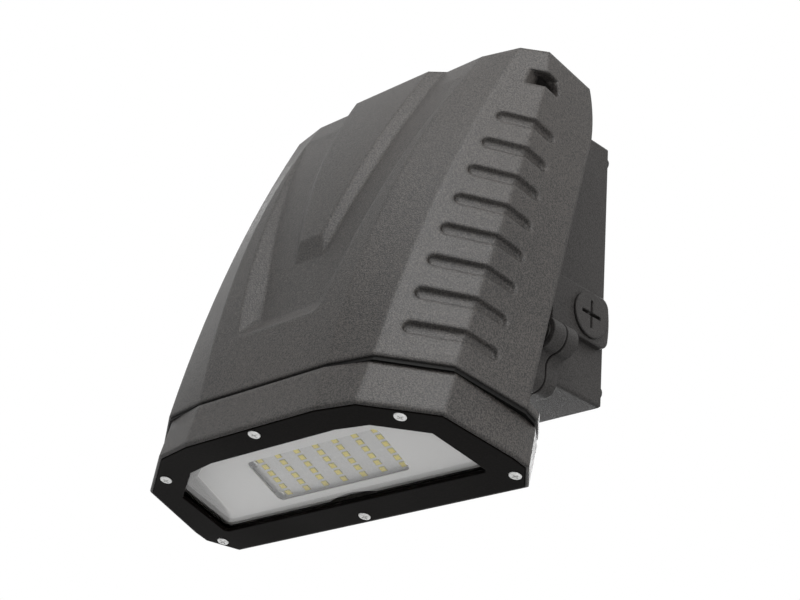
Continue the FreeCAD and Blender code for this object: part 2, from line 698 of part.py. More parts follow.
def terminal_screws():
    back_y = BOX_BACK_Y - BOX_WALL - TERMINAL_PAD_T
    pitch = TERMINAL_W / TERMINAL_WAYS
    screws = []
    for way in range(TERMINAL_WAYS):
        x = (way - (TERMINAL_WAYS - 1) / 2) * pitch
        bottom = back_y - TERMINAL_D + 8.0
        screw = rod(TERMINAL_SCREW_R - 0.1, V(x, bottom, TERMINAL_Z), V(0, -1, 0), 5.0)
        slot = box(x - 0.4, x + 0.4, bottom - 5.0, bottom - 4.0, TERMINAL_Z - 4, TERMINAL_Z + 4)
        screws.append(screw.cut(slot))
    return Part.makeCompound(screws)


def ground_screw():
    seat_y = BOX_BACK_Y - BOX_WALL - GROUND_BOSS_T
    head = along(hex_prism(2 * GROUND_HEAD_R, GROUND_HEAD_T), V(0, -1, 0), V(GROUND_X, seat_y, GROUND_Z))
    shank = rod(GROUND_SHANK_R - 0.05, V(GROUND_X, seat_y, GROUND_Z), AXIS_Y, GROUND_BOSS_T - 1.0)
    slot = box(GROUND_X - 0.6, GROUND_X + 0.6, seat_y - GROUND_HEAD_T, seat_y - GROUND_HEAD_T + 1.0,
               GROUND_Z - 10, GROUND_Z + 10)
    return fuse([head, shank]).cut(slot)


# ---------------------------------------------------------------- pivot hardware
def pivot_bolt():
    head_x = HEAD_LUG_OUT_X + SIDE_PLAY + PIVOT_WASHER_T
    start_x = ARM_X - PIVOT_WASHER_T - PIVOT_NUT_T - 2.0
    head = along(hex_prism(PIVOT_HEAD_AF, PIVOT_HEAD_T), AXIS_X, V(head_x, PIVOT_Y, PIVOT_Z))
    shank = rod(PIVOT_R, V(start_x, PIVOT_Y, PIVOT_Z), AXIS_X, head_x - start_x)
    return fuse([head, shank])


def pivot_washers():
    outer = ring(PIVOT_WASHER_R, PIVOT_R + 0.1, V(HEAD_LUG_OUT_X + SIDE_PLAY, PIVOT_Y, PIVOT_Z), AXIS_X,
                 PIVOT_WASHER_T)
    inner = ring(PIVOT_WASHER_R, PIVOT_R + 0.1, V(ARM_X, PIVOT_Y, PIVOT_Z), V(-1, 0, 0), PIVOT_WASHER_T)
    return Part.makeCompound(both_sides(outer) + both_sides(inner))


def pivot_nut():
    seat = V(ARM_X - PIVOT_WASHER_T, PIVOT_Y, PIVOT_Z)
    nut = along(hex_prism(PIVOT_HEAD_AF, PIVOT_NUT_T), V(-1, 0, 0), seat)
    return nut.cut(rod(PIVOT_R + 0.02, V(0, PIVOT_Y, PIVOT_Z), AXIS_X, FAR))


def friction_washer():
    return ring(FRICTION_R, PIVOT_R + 0.1, V(ARM_OUT_X, PIVOT_Y, PIVOT_Z), AXIS_X, FRICTION_T)


# ---------------------------------------------------------------- upper housing
def share_up(w):
    return (w - HOUSING_W0) / (HOUSING_W1 - HOUSING_W0)


def front_v(w):
    return FRONT_V + (w - FRONT_PEAK_W) ** 2 / (2 * FRONT_R)


def corner_curve(w):
    return max(0.0, w - CORNER_START_W) ** 2 / (2 * CORNER_R)


def housing_half(w):
    """Right-hand half of the housing's section at height w: face, corner, rib and side edges."""
    s = share_up(w)
    lean = max(0.0, (w - RIB_LEAN_W) / (HOUSING_W1 - RIB_LEAN_W)) ** 3
    rib_u = RIB_U0 + s * (RIB_U1 - RIB_U0) - lean * RIB_LEAN_U
    rib_v = RIB_V0 + s * (RIB_V1 - RIB_V0) - lean * RIB_LEAN_V
    return [
        (FACE_U0 + s * (FACE_U1 - FACE_U0), front_v(w)),
        (CORNER_U0 + s * (CORNER_U1 - CORNER_U0), CORNER_V + corner_curve(w)),
        (rib_u, rib_v),
        (SIDE_U0 + s * (SIDE_U1 - SIDE_U0), SIDE_V0 + s * (SIDE_V1 - SIDE_V0)),
    ]


def housing_levels(w0, w1, count=8):
    return [w0 + (w1 - w0) * i / (count - 1) for i in range(count)]


def housing_loft(w0, w1):
    """Solid that follows the housing's sections with smooth long curves."""
    wires = [level_wire(full_outline(housing_half(w)), w) for w in housing_levels(w0, w1)]
    return Part.makeLoft(wires, True, False)


def inner_loft(w0, w1, front, side, rear):
    """The same form drawn inward by the front and side walls, straight between its levels."""
    wires = []
    for w in housing_levels(w0, w1, 6):
        half = housing_half(w)[1:]
        ahead = half[0][1] - front_v(w) - front
        distances = [-side, -side, ahead, -side, -side, rear]
        wires.append(level_wire(offset_outline(full_outline(half), distances), w))
    return Part.makeLoft(wires, True, True)


def panel_sections():
    """Cutter for the sunk front panel: its floor rises to meet the face near the top."""
    wires = []
    for w in housing_levels(PANEL_FOOT_W - 6.0, PANEL_FADE_W):
        depth = panel_depth(w)
        half = panel_half(w)
        inner = max(1.0, half - PANEL_BEVEL * depth)
        outer = half + PANEL_BEVEL * 6.0
        corners = [V(-outer, front_v(w) - 6.0, w), V(-inner, front_v(w) + depth, w),
                   V(inner, front_v(w) + depth, w), V(outer, front_v(w) - 6.0, w)]
        wires.append(Part.makePolygon(corners + corners[:1]))
    return Part.makeLoft(wires, True, False)


def panel_depth(w):
    return PANEL_DEPTH * min(1.0, (PANEL_FADE_W - w) / (PANEL_FADE_W - PANEL_RISE_W))


def panel_half(w):
    """Half width of the panel's outer edge; it opens out towards the top."""
    rise = w - PANEL_W0
    return PANEL_HALF_0 + PANEL_FLARE * rise - 0.0009 * rise ** 2 + 0.0000038 * rise ** 3


def panel_foot():
    """Bevelled lower end of the panel with rounded corners, wider than the panel above it."""
    wires = []
    for depth in (-6.0, PANEL_DEPTH + 6.0):
        half = PANEL_HALF_0 + 2.0 - PANEL_BEVEL * depth
        bottom = PANEL_FOOT_W + PANEL_FOOT_BEVEL * depth
        radius = max(1.0, PANEL_CORNER_R - 0.9 * depth)
        v = FRONT_V + depth
        top = PANEL_FADE_W + 60.0
        spread = 60.0
        s45 = radius * (1.0 - math.sqrt(0.5))
        edges = [
            Part.LineSegment(V(-half + radius, v, bottom), V(half - radius, v, bottom)).toShape(),
            Part.Arc(V(half - radius, v, bottom), V(half - s45, v, bottom + s45),
                     V(half, v, bottom + radius)).toShape(),
            Part.LineSegment(V(half, v, bottom + radius), V(half + spread, v, top)).toShape(),
            Part.LineSegment(V(half + spread, v, top), V(-half - spread, v, top)).toShape(),
            Part.LineSegment(V(-half - spread, v, top), V(-half, v, bottom + radius)).toShape(),
            Part.Arc(V(-half, v, bottom + radius), V(-half + s45, v, bottom + s45),
                     V(-half + radius, v, bottom)).toShape(),
        ]
        wires.append(Part.Wire(edges))
    foot = Part.makeLoft(wires, True, True)
    return foot.fuse(box(-FAR, FAR, -FAR, FAR, PANEL_FOOT_TOP_W, FAR))


def tongue_crest_half(w):
    rise = w - TONGUE_TOE_W
    return TONGUE_TOE_HALF + 0.235 * rise - 0.00062 * rise ** 2


def tongue_v(w):
    """Crest line of the tongue; it stands proud of the face towards the top."""
    return -86.5 + (w - 104.0) ** 2 / 800.0


def tongue():
    wires = []
    for w in housing_levels(TONGUE_W0 - 6.0, HOUSING_W1):
        crest = tongue_crest_half(w)
        foot = crest + TONGUE_BEVEL * TONGUE_RISE
        buried = foot + TONGUE_BEVEL * 2.0
        v = tongue_v(w)
        corners = [V(-buried, v + TONGUE_RISE + 2.0, w), V(-crest, v, w), V(crest, v, w),
                   V(buried, v + TONGUE_RISE + 2.0, w)]
        wires.append(Part.makePolygon(corners + corners[:1]))
    body = Part.makeLoft(wires, True, False)
    toe_v = tongue_v(TONGUE_TOE_W)
    base_v = front_v(TONGUE_W0) + panel_depth(TONGUE_W0)
    run = (TONGUE_TOE_W - TONGUE_W0) / (base_v - toe_v)
    reach = 12.0
    wedge = [V(-FAR, toe_v - reach, TONGUE_TOE_W + reach * run),
             V(-FAR, base_v + reach, TONGUE_W0 - reach * run),
             V(-FAR, toe_v - reach, TONGUE_W0 - reach * run)]
    toe = Part.Face(Part.makePolygon(wedge + wedge[:1])).extrude(V(2 * FAR, 0, 0))
    return body.cut(toe)


def slot_wire(base, direction, length, half_h, low_r, top_r):
    """Outline of a slot that starts square at base and ends in a lower and an upper round."""
    side = AXIS_Z * half_h
    low_turn = base - side + direction * (length - low_r)
    top_turn = base + side + direction * (length - top_r)
    tip = base - side + direction * length + AXIS_Z * low_r
    root = math.sqrt(0.5)
    low_mid = low_turn + AXIS_Z * low_r * (1.0 - root) + direction * low_r * root
    top_mid = top_turn - AXIS_Z * top_r * (1.0 - root) + direction * top_r * root
    return Part.Wire([
        Part.LineSegment(base - side, low_turn).toShape(),
        Part.Arc(low_turn, low_mid, tip).toShape(),
        Part.Arc(tip, top_mid, top_turn).toShape(),
        Part.LineSegment(top_turn, base + side).toShape(),
        Part.LineSegment(base + side, base - side).toShape(),
    ])


def square_wire(base, direction, length, half_h):
    side = AXIS_Z * half_h
    end = base + direction * length
    return Part.makePolygon([base - side, end - side, end + side, base + side, base - side])


def facet_slot(w, start, end, depth, half_h, slope, low_r):
    """Cutter on a facet from start to end (u, v); its walls lean out by slope.

    Its end is round, with low_r below, or square where low_r is none.
    """
    direction = V(end[0] - start[0], end[1] - start[1], 0)
    length = direction.Length
    direction.normalize()
    outward = V(-direction.y, direction.x, 0)
    if outward.x < 0:
        outward = outward * -1.0
    reach = 2.0
    wires = []
    for level in (-depth, reach):
        base = V(start[0], start[1], w) + outward * level
        grown = slope * level
        if low_r is None:
            wires.append(square_wire(base, direction, length + grown, half_h))
        else:
            share = low_r / (2 * half_h)
            tall = half_h + grown
            wires.append(slot_wire(base, direction, length + grown, tall, 2 * tall * share,
                                   2 * tall * (1.0 - share)))
    return Part.makeLoft(wires, True, True)


def point_on(line_start, line_end, v):
    share = (v - line_start[1]) / (line_end[1] - line_start[1])
    return (line_start[0] + share * (line_end[0] - line_start[0]), v)


def groove(w, front_v_end, rear_v_end):
    """Groove that runs round the edge between the ribbed facet and the side."""
    face, corner, rib, side = housing_half(w)
    front_end = point_on(corner, rib, front_v_end)
    rear_end = point_on(rib, side, rear_v_end)
    first = facet_slot(w, rib, front_end, GROOVE_DEPTH, GROOVE_HALF_H, GROOVE_SLOPE, GROOVE_HALF_H)
    second = facet_slot(w, rib, rear_end, GROOVE_DEPTH, GROOVE_HALF_H, GROOVE_SLOPE, GROOVE_HALF_H)
    low = GROOVE_HALF_H - GROOVE_SLOPE * GROOVE_DEPTH
    knee = Part.makeCylinder(GROOVE_DEPTH, 2 * low, V(rib[0], rib[1], w - low))
    return first.multiFuse([second, knee])


def port():
    """Opening through an upper corner: square and sloped in front, one long round behind."""
    face, corner, rib, side = housing_half(PORT_W)
    front_end = point_on(corner, rib, PORT_FRONT_V)
    rear_end = point_on(rib, side, PORT_REAR_V)
    depth = WALL_SIDE + 2.0
    first = facet_slot(PORT_W, rib, front_end, depth, PORT_HALF_H, PORT_SLOPE, None)
    second = facet_slot(PORT_W, rib, rear_end, depth, PORT_HALF_H, 0.0, PORT_LOW_R)
    knee = Part.makeCylinder(depth, 2 * PORT_HALF_H, V(rib[0], rib[1], PORT_W - PORT_HALF_H))
    return first.multiFuse([second, knee])


def grooves():
    cutters = []
    for index in range(GROOVE_COUNT):
        w = GROOVE_W0 + index * GROOVE_PITCH
        front_end = GROOVE_FRONT_V0 + GROOVE_FRONT_STEP * index + GROOVE_FRONT_BOW * index ** 2
        rear_end = GROOVE_REAR_V0 + (GROOVE_REAR_V1 - GROOVE_REAR_V0) * index / (GROOVE_COUNT - 1)
        cutters.append(groove(w, front_end, rear_end))
    return cutters


def band_half(w):
    face, corner, rib, side = housing_half(w)
    return [face, corner, rib, side, (BAND_SIDE_U, BAND_SIDE_V), (BAND_REAR_U, BAND_REAR_V)]


def upper_housing():
    shell = housing_loft(HOUSING_W0, HOUSING_W1)
    hollow = inner_loft(HOUSING_W0 - 1.0, HOUSING_W1 - WALL_TOP, WALL_FRONT, WALL_SIDE, 20.0)
    body = shell.cut(panel_sections().common(panel_foot()))
    body = fuse([body, tongue().common(box(-FAR, FAR, -FAR, FAR, HOUSING_W0, HOUSING_W1))])
    body = body.cut(hollow)
    ledge = shell.common(box(-FAR, FAR, LEDGE_V, LEDGE_V + LEDGE_T, HOUSING_W0, SHELF_W + SHELF_T))
    ledge = ledge.cut(box(-LEDGE_HALF_W, LEDGE_HALF_W, -FAR, FAR, LEDGE_W0, LEDGE_W1))
    inside = inner_loft(HOUSING_W0, HOUSING_W1, WALL_FRONT - 1.0, 2.0, 0.0)
    shelf = inside.common(box(-FAR, FAR, -FAR, LEDGE_V + 0.5, SHELF_W, SHELF_W + SHELF_T))
    outline = full_outline(band_half(HOUSING_W0))
    band = prism(outline, HOUSING_W0, HOUSING_W0 + BAND_T).cut(
        prism(grow(outline, -BAND_WIDTH), HOUSING_W0 - 1, HOUSING_W0 + BAND_T + 1))
    bosses = [rod(BODY_BOSS_R, V(u, v, HOUSING_W0), AXIS_Z, BODY_SCREW_END_W + 1.5 - HOUSING_W0)
              for u, v in mirrored(BODY_SCREWS)]
    body = fuse([body, ledge.common(inside), shelf, band] + bosses)
    cuts = [box(-NOTCH_HALF_W, NOTCH_HALF_W, NOTCH_V, FAR, SHELF_W + SHELF_T, FAR)]
    for cutter in grooves() + [port()]:
        cuts += both_sides(cutter)
    cuts += [rod(BODY_SCREW_R + 0.05, V(u, v, HOUSING_W0 - 1), AXIS_Z, BODY_SCREW_END_W + 1 - HOUSING_W0)
             for u, v in mirrored(BODY_SCREWS)]
    cuts += [rod(REAR_SCREW_R + 0.05, V(u, LEDGE_V - 10, w), AXIS_Y, 20) for u, w in mirrored(REAR_SCREWS)]
    cuts.append(cheek_corner())
    for cutter in cuts:
        body = body.cut(cutter)
    return body


def cheek_corner():
    """Rounds the upper rear corner of both cheeks with one long arc."""
    s = share_up(CHEEK_CORNER_W)
    v = SIDE_V0 + s * (SIDE_V1 - SIDE_V0)
    r = CHEEK_CORNER_R
    block = box(-FAR, FAR, v - r, v + r, CHEEK_CORNER_W, HOUSING_W1 + 1)
    return block.cut(rod(r, V(-FAR, v - r, CHEEK_CORNER_W), AXIS_X, 2 * FAR))


def mirrored(places):
    result = []
    for u, v in places:
        result.append((u, v))
        if u > 0:
            result.append((-u, v))
    return result


# ---------------------------------------------------------------- lower housing
def ring_loft(grow_by, w0, w1):
    wires = []
    for w in (w0, w1):
        s = w / RING_H
        half = [(a[0] + s * (b[0] - a[0]), a[1] + s * (b[1] - a[1])) for a, b in zip(RING_BOTTOM, RING_TOP)]
        wires.append(level_wire(grow(full_outline(half), grow_by), w))
    return Part.makeLoft(wires, True, True)


def opening_prism(grow_by, w0, w1):
    outline = grow(full_outline(OPENING), grow_by)
    solid = prism(outline, w0, w1)
    rear = [outline[0], outline[-1]]
    return solid.makeFillet(OPENING_REAR_R + grow_by, upright_edges(solid, rear))


def frame_outline(grow_by):
    return grow(full_outline(RING_BOTTOM), -FRAME_GAP + grow_by)


def fins():
    result = []
    for index in range(FIN_COUNT):
        u = (index - (FIN_COUNT - 1) / 2) * FIN_PITCH
        result.append(box(u - FIN_T / 2, u + FIN_T / 2, FIN_V0, FIN_V1, RING_H - 0.5, RING_H + FIN_H))
    return result


def led_pad():
    """Wedge under the deck that carries the board at its own tilt."""
    pad = box(-BOARD_HALF_U, BOARD_HALF_U, -BOARD_HALF_V, BOARD_HALF_V, LED_H + BOARD_T, 40.0)
    pad = tilt_to_leds(pad)
    return pad.common(box(-FAR, FAR, -FAR, FAR, 0, DECK_W + 0.5))


def lower_housing():
    body = ring_loft(0.0, 0.0, RING_H)
    lower_edges = [e for e in body.Edges if e.BoundBox.ZMax < 0.01]
    body = body.makeChamfer(RING_EDGE, lower_edges)
    body = body.cut(prism(frame_outline(FRAME_SIDE_GAP), -1.0, FRAME_W1))
    body = body.cut(opening_prism(GLASS_LAP + GLASS_CLEAR, 0.0, SEAL_W1))
    body = body.cut(opening_prism(CAVITY_GAP, 0.0, DECK_W))
    body = fuse([body, led_pad()] + fins())
    cuts = []
    for u, v in mirrored(LENS_SCREWS):
        cuts.append(rod(LENS_SCREW_R + 0.05, V(u, v, 0), AXIS_Z, LENS_SCREW_L + 2.0))
    for u, v in mirrored(BODY_SCREWS):
        cuts.append(rod(BODY_SCREW_R + SCREW_CLEAR, V(u, v, 0), AXIS_Z, RING_H + 1))
        recess = FRAME_W1 + BODY_SCREW_HEAD_T + 0.3
        cuts.append(rod(BODY_SCREW_HEAD_R + SCREW_CLEAR, V(u, v, 0), AXIS_Z, recess))
    for u, v in board_screw_places():
        cuts.append(tilt_to_leds(rod(BOARD_SCREW_R + 0.05, V(u, v, 0), AXIS_Z, 8.0)))
    return body.cut(fuse_tools(cuts))


def seam_gasket():
    pad = prism(grow(full_outline(band_half(HOUSING_W0)), -SEAM_INSET), RING_H, RING_H + SEAM_T)
    pad = pad.cut(prism(grow(full_outline(RING_TOP), -SEAM_LAP), RING_H - 1, RING_H + SEAM_T + 1))
    holes = [rod(BODY_SCREW_R + 0.4, V(u, v, 0), AXIS_Z, 60) for u, v in mirrored(BODY_SCREWS)]
    return pad.cut(fuse_tools(holes))


def body_screws():
    screws = []
    seat = FRAME_W1 + BODY_SCREW_HEAD_T + 0.3
    for u, v in mirrored(BODY_SCREWS):
        head = rod(BODY_SCREW_HEAD_R, V(u, v, seat - BODY_SCREW_HEAD_T), AXIS_Z, BODY_SCREW_HEAD_T)
        socket = along(hex_prism(3.0, 1.8), AXIS_Z, V(u, v, seat - BODY_SCREW_HEAD_T))
        shank = rod(BODY_SCREW_R, V(u, v, seat), AXIS_Z, BODY_SCREW_END_W - 1.0 - seat)
        screws.append(fuse([head, shank]).cut(socket))
    return Part.makeCompound(screws)


# ---------------------------------------------------------------- lens
def lens_frame():
    plate = prism(frame_outline(0.0), FRAME_W0, FRAME_W1)
    plate = plate.cut(opening_prism(0.0, FRAME_W0 - 1, FRAME_W1 + 1))
    holes = []
    for u, v in mirrored(LENS_SCREWS):
        holes.append(rod(LENS_SCREW_R + SCREW_CLEAR, V(u, v, FRAME_W0 - 1), AXIS_Z, 10))
        recess = 1.0 + LENS_SCREW_HEAD_T - 0.5
        holes.append(rod(LENS_SCREW_HEAD_R + 0.15, V(u, v, FRAME_W0 - 1), AXIS_Z, recess))
    return plate.cut(fuse_tools(holes))


def lens_screws():
    """Pan heads with a cross recess, sunk a little into the frame."""
    screws = []
    seat = FRAME_W0 + LENS_SCREW_HEAD_T - 0.5
    for u, v in mirrored(LENS_SCREWS):
        head = rod(LENS_SCREW_HEAD_R, V(u, v, seat - LENS_SCREW_HEAD_T), AXIS_Z, LENS_SCREW_HEAD_T)
        crown = [e for e in head.Edges if e.BoundBox.ZMax < seat - LENS_SCREW_HEAD_T + 0.01]
        head = head.makeFillet(0.6, crown)
        shank = rod(LENS_SCREW_R, V(u, v, seat), AXIS_Z, LENS_SCREW_L - seat)
        low = seat - LENS_SCREW_HEAD_T - 1
        cross = [box(u - 1.8, u + 1.8, v - 0.35, v + 0.35, low, low + 1.9),
                 box(u - 0.35, u + 0.35, v - 1.8, v + 1.8, low, low + 1.9)]
        screws.append(fuse([head, shank]).cut(cross[0]).cut(cross[1]))
    return Part.makeCompound(screws)


def lens_glass():
    return opening_prism(GLASS_LAP, GLASS_W0, GLASS_W1)


def lens_seal():
    body = opening_prism(GLASS_LAP + GLASS_CLEAR - 0.1, FRAME_W1, SEAL_W1)
    body = body.cut(opening_prism(GLASS_LAP, GLASS_W0, GLASS_W1))
    return body.cut(opening_prism(CAVITY_GAP, FRAME_W1 - 1, SEAL_W1 + 1))


# ---------------------------------------------------------------- light engine
def board_screw_places():
    return [(su * BOARD_SCREW_U, sv * BOARD_SCREW_V) for su in (1, -1) for sv in (1, -1)]


def led_board():
    board = box(-BOARD_HALF_U, BOARD_HALF_U, -BOARD_HALF_V, BOARD_HALF_V, LED_H, LED_H + BOARD_T)
    holes = [rod(BOARD_SCREW_R + 0.15, V(u, v, 0), AXIS_Z, 10) for u, v in board_screw_places()]
    return tilt_to_leds(board.cut(fuse_tools(holes)))


def board_screws():
    screws = []
    for u, v in board_screw_places():
        head = rod(BOARD_SCREW_HEAD_R, V(u, v, LED_H - BOARD_SCREW_HEAD_T), AXIS_Z, BOARD_SCREW_HEAD_T)
        shank = rod(BOARD_SCREW_R, V(u, v, LED_H), AXIS_Z, 6.0)
        screws.append(tilt_to_leds(fuse([head, shank])))
    return Part.makeCompound(screws)


def led_chips():
    chips = []
    for row in range(LED_ROWS):
        for col in range(LED_COLS):
            u = (col - (LED_COLS - 1) / 2) * LED_PITCH_U
            v = (row - (LED_ROWS - 1) / 2) * LED_PITCH_V
            chip = box(u - LED_SIZE_U / 2, u + LED_SIZE_U / 2,
                       v - LED_SIZE_V / 2, v + LED_SIZE_V / 2, 0, LED_H)
            chips.append(tilt_to_leds(chip))
    return Part.makeCompound(chips)


def tray_floor_w(v):
    return LED_W - TRAY_DROP - math.tan(math.radians(LED_TILT)) * (v - LED_V)


def tray_form(extra):
    """Solid under the tray's surface: a tilted floor that runs down to the rim."""
    floor = grow(full_outline(TRAY_FLOOR), extra)
    rim = grow(full_outline(OPENING), CAVITY_GAP - TRAY_GAP - TRAY_T + extra)
    top = [V(u, v, tray_floor_w(v) + extra) for u, v in floor]
    low = [V(u, v, TRAY_RIM_W) for u, v in rim]
    return Part.makeLoft([Part.makePolygon(low + low[:1]), Part.makePolygon(top + top[:1])], True, True)


def reflector_tray():
    tray = tray_form(TRAY_T).cut(tray_form(0.0))
    window = box(-TRAY_WINDOW_HALF_U, TRAY_WINDOW_HALF_U, TRAY_WINDOW_V0, TRAY_WINDOW_V1, 0, 30)
    corners = [(su * TRAY_WINDOW_HALF_U, v) for su in (1, -1) for v in (TRAY_WINDOW_V0, TRAY_WINDOW_V1)]
    window = window.makeFillet(TRAY_WINDOW_R, upright_edges(window, corners))
    relief = rod(TRAY_RELIEF_R, V(0, TRAY_RELIEF_V + TRAY_RELIEF_R, 0), AXIS_Z, 30)
    return tray.cut(window).cut(relief)


# ---------------------------------------------------------------- driver and rear cover
def driver_case():
    base = REAR_GASKET_V - 0.5
    case = box(-DRIVER_L / 2, DRIVER_L / 2, base - DRIVER_D, base,
               DRIVER_W - DRIVER_H / 2, DRIVER_W + DRIVER_H / 2)
    edges = [e for e in case.Edges if abs(e.Vertexes[0].Y - e.Vertexes[1].Y) > 1.0]
    return case.makeFillet(3.0, edges)


def driver_bracket():
    """Sheet strap that holds the driver on the rear cover."""
    base = REAR_GASKET_V - 0.5
    half = DRIVER_L / 2
    plate = box(-half - DRIVER_FOOT, half + DRIVER_FOOT, base, REAR_COVER_V, DRIVER_W - 12, DRIVER_W + 12)
    holes = [rod(DRIVER_SCREW_R + 0.2, V(s * (half + DRIVER_FOOT / 2), base - 1, DRIVER_W), AXIS_Y, 10)
             for s in (1, -1)]
    return plate.cut(fuse_tools(holes))


def driver_screws():
    base = REAR_GASKET_V - 0.5
    screws = []
    for s in (1, -1):
        u = s * (DRIVER_L / 2 + DRIVER_FOOT / 2)
        head = rod(3.6, V(u, base, DRIVER_W), V(0, -1, 0), 2.2)
        shank = rod(DRIVER_SCREW_R, V(u, base, DRIVER_W), AXIS_Y, REAR_COVER_V + 2.2 - base)
        screws.append(fuse([head, shank]))
    return Part.makeCompound(screws)


def surge_protector():
    back = REAR_COVER_V
    case = box(-SURGE_L / 2, SURGE_L / 2, back - SURGE_D, back, SURGE_W - SURGE_H / 2, SURGE_W + SURGE_H / 2)
    edges = [e for e in case.Edges if abs(e.Vertexes[0].Y - e.Vertexes[1].Y) > 1.0]
    return case.makeFillet(2.0, edges)


def rear_plate(w_v0, w_v1, inset):
    return box(-COVER_HALF_U + inset, COVER_HALF_U - inset, w_v0, w_v1, COVER_W0 + inset,
               SHELF_W + SHELF_T - inset)


def rear_gasket():
    pad = rear_plate(REAR_GASKET_V, REAR_COVER_V, 0.5)
    pad = pad.cut(box(-LEDGE_HALF_W, LEDGE_HALF_W, -FAR, FAR, LEDGE_W0, LEDGE_W1))
    holes = [rod(REAR_SCREW_R + 0.4, V(u, -FAR / 2, w), AXIS_Y, FAR) for u, w in mirrored(REAR_SCREWS)]
    return pad.cut(fuse_tools(holes))


def head_lug():
    """Right-hand hinge lug of the rear cover."""
    x = HEAD_LUG_X
    end = rod(HEAD_LUG_R, V(x, PIVOT_V, PIVOT_W), AXIS_X, HEAD_LUG_T)
    root_v = REAR_FACE_V - 1.0
    profile = [V(x, root_v, COVER_W1 - 0.0), V(x, PIVOT_V, PIVOT_W + HEAD_LUG_R),
               V(x, PIVOT_V, PIVOT_W - HEAD_LUG_R), V(x, root_v, PIVOT_W - HEAD_LUG_R - 22.0)]
    web = Part.Face(Part.makePolygon(profile + profile[:1])).extrude(V(HEAD_LUG_T, 0, 0))
    return end.fuse(web)


def rear_cover():
    plate = rear_plate(REAR_COVER_V, REAR_FACE_V, 0.0)
    corners = [e for e in plate.Edges if abs(e.Vertexes[0].Y - e.Vertexes[1].Y) > 1.0]
    plate = plate.makeFillet(5.0, corners)
    cover = fuse([plate] + both_sides(head_lug()))
    cuts = [rod(REAR_SCREW_R + SCREW_CLEAR, V(u, -FAR / 2, w), AXIS_Y, FAR) for u, w in mirrored(REAR_SCREWS)]
    cuts.append(rod(BUSHING_R, V(0, -FAR / 2, HEAD_BUSHING_W), AXIS_Y, FAR))
    cuts.append(rod(VENT_R - 1.5, V(VENT_U, -FAR / 2, VENT_W), AXIS_Y, FAR))
    cuts.append(rod(PIVOT_R + PIVOT_CLEAR, V(-FAR / 2, PIVOT_V, PIVOT_W), AXIS_X, FAR))
    cuts += [rod(DRIVER_SCREW_R + 0.05, V(s * (DRIVER_L / 2 + DRIVER_FOOT / 2), REAR_COVER_V - 1, DRIVER_W),
                 AXIS_Y, 3.4) for s in (1, -1)]
    return cover.cut(fuse_tools(cuts))


def rear_screws():
    screws = []
    for u, w in mirrored(REAR_SCREWS):
        head = rod(REAR_SCREW_HEAD_R, V(u, REAR_FACE_V, w), AXIS_Y, REAR_SCREW_HEAD_T)
        crown = [e for e in head.Edges if e.BoundBox.YMin > REAR_FACE_V + REAR_SCREW_HEAD_T - 0.01]
        head = head.makeFillet(0.8, crown)
        shank = rod(REAR_SCREW_R, V(u, REAR_FACE_V - REAR_SCREW_L, w), AXIS_Y, REAR_SCREW_L)
        top = REAR_FACE_V + REAR_SCREW_HEAD_T
        cross = [box(u - 1.9, u + 1.9, top - 1.0, top + 1, w - 0.4, w + 0.4),
                 box(u - 0.4, u + 0.4, top - 1.0, top + 1, w - 1.9, w + 1.9)]
        screws.append(fuse([head, shank]).cut(cross[0]).cut(cross[1]))
    return Part.makeCompound(screws)


def vent_plug():
    body = rod(VENT_R, V(VENT_U, REAR_FACE_V, VENT_W), AXIS_Y, VENT_T)
    stem = rod(VENT_R - 1.6, V(VENT_U, REAR_COVER_V - 1.0, VENT_W), AXIS_Y, REAR_COVER_T + 1.5)
    return fuse([body, stem])


def build():
    plug = conduit_plug()
    save("wall_box", wall_box())
    save("wall_gasket", wall_gasket())
    save("conduit_plug_right", plug)
    save("conduit_plug_left", mirror_x(plug))
    save("plug_seals", plug_seals())
    save("cover_gasket", cover_gasket())
    save("box_cover", box_cover())
    save("cover_bolts", Part.makeCompound(both_sides(cover_bolt())))
    save("cover_washers", Part.makeCompound(both_sides(cover_washer())))
    save("cover_bushing", bushing(V(0, COVER_FRONT_Y, COVER_BUSHING_Z), V(0, -1, 0), COVER_PLATE_T))
    save("terminal_block", terminal_block())
    save("terminal_screws", terminal_screws())
    save("ground_screw", ground_screw())
    save("pivot_bolts", Part.makeCompound(both_sides(pivot_bolt())))
    save("pivot_washers", pivot_washers())
    save("pivot_nuts", Part.makeCompound(both_sides(pivot_nut())))
    save("friction_washers", Part.makeCompound(both_sides(friction_washer())))
    head = {
        "upper_housing": upper_housing(),
        "lower_housing": lower_housing(),
        "seam_gasket": seam_gasket(),
        "body_screws": body_screws(),
        "lens_frame": lens_frame(),
        "lens_screws": lens_screws(),
        "lens_glass": lens_glass(),
        "lens_seal": lens_seal(),
        "led_board": led_board(),
        "board_screws": board_screws(),
        "led_chips": led_chips(),
        "reflector_tray": reflector_tray(),
        "driver_case": driver_case(),
        "driver_bracket": driver_bracket(),
        "driver_screws": driver_screws(),
        "surge_protector": surge_protector(),
        "rear_cover": rear_cover(),
        "rear_gasket": rear_gasket(),
        "rear_screws": rear_screws(),
        "head_bushing": bushing(V(0, REAR_FACE_V, HEAD_BUSHING_W), AXIS_Y, REAR_COVER_T),
        "vent_plug": vent_plug(),
    }
    for name, shape in head.items():
        save(name, place_head(shape))


os.makedirs("parts", exist_ok=True)
build()
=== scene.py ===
import bmesh
import bpy
from mathutils import Matrix, Vector


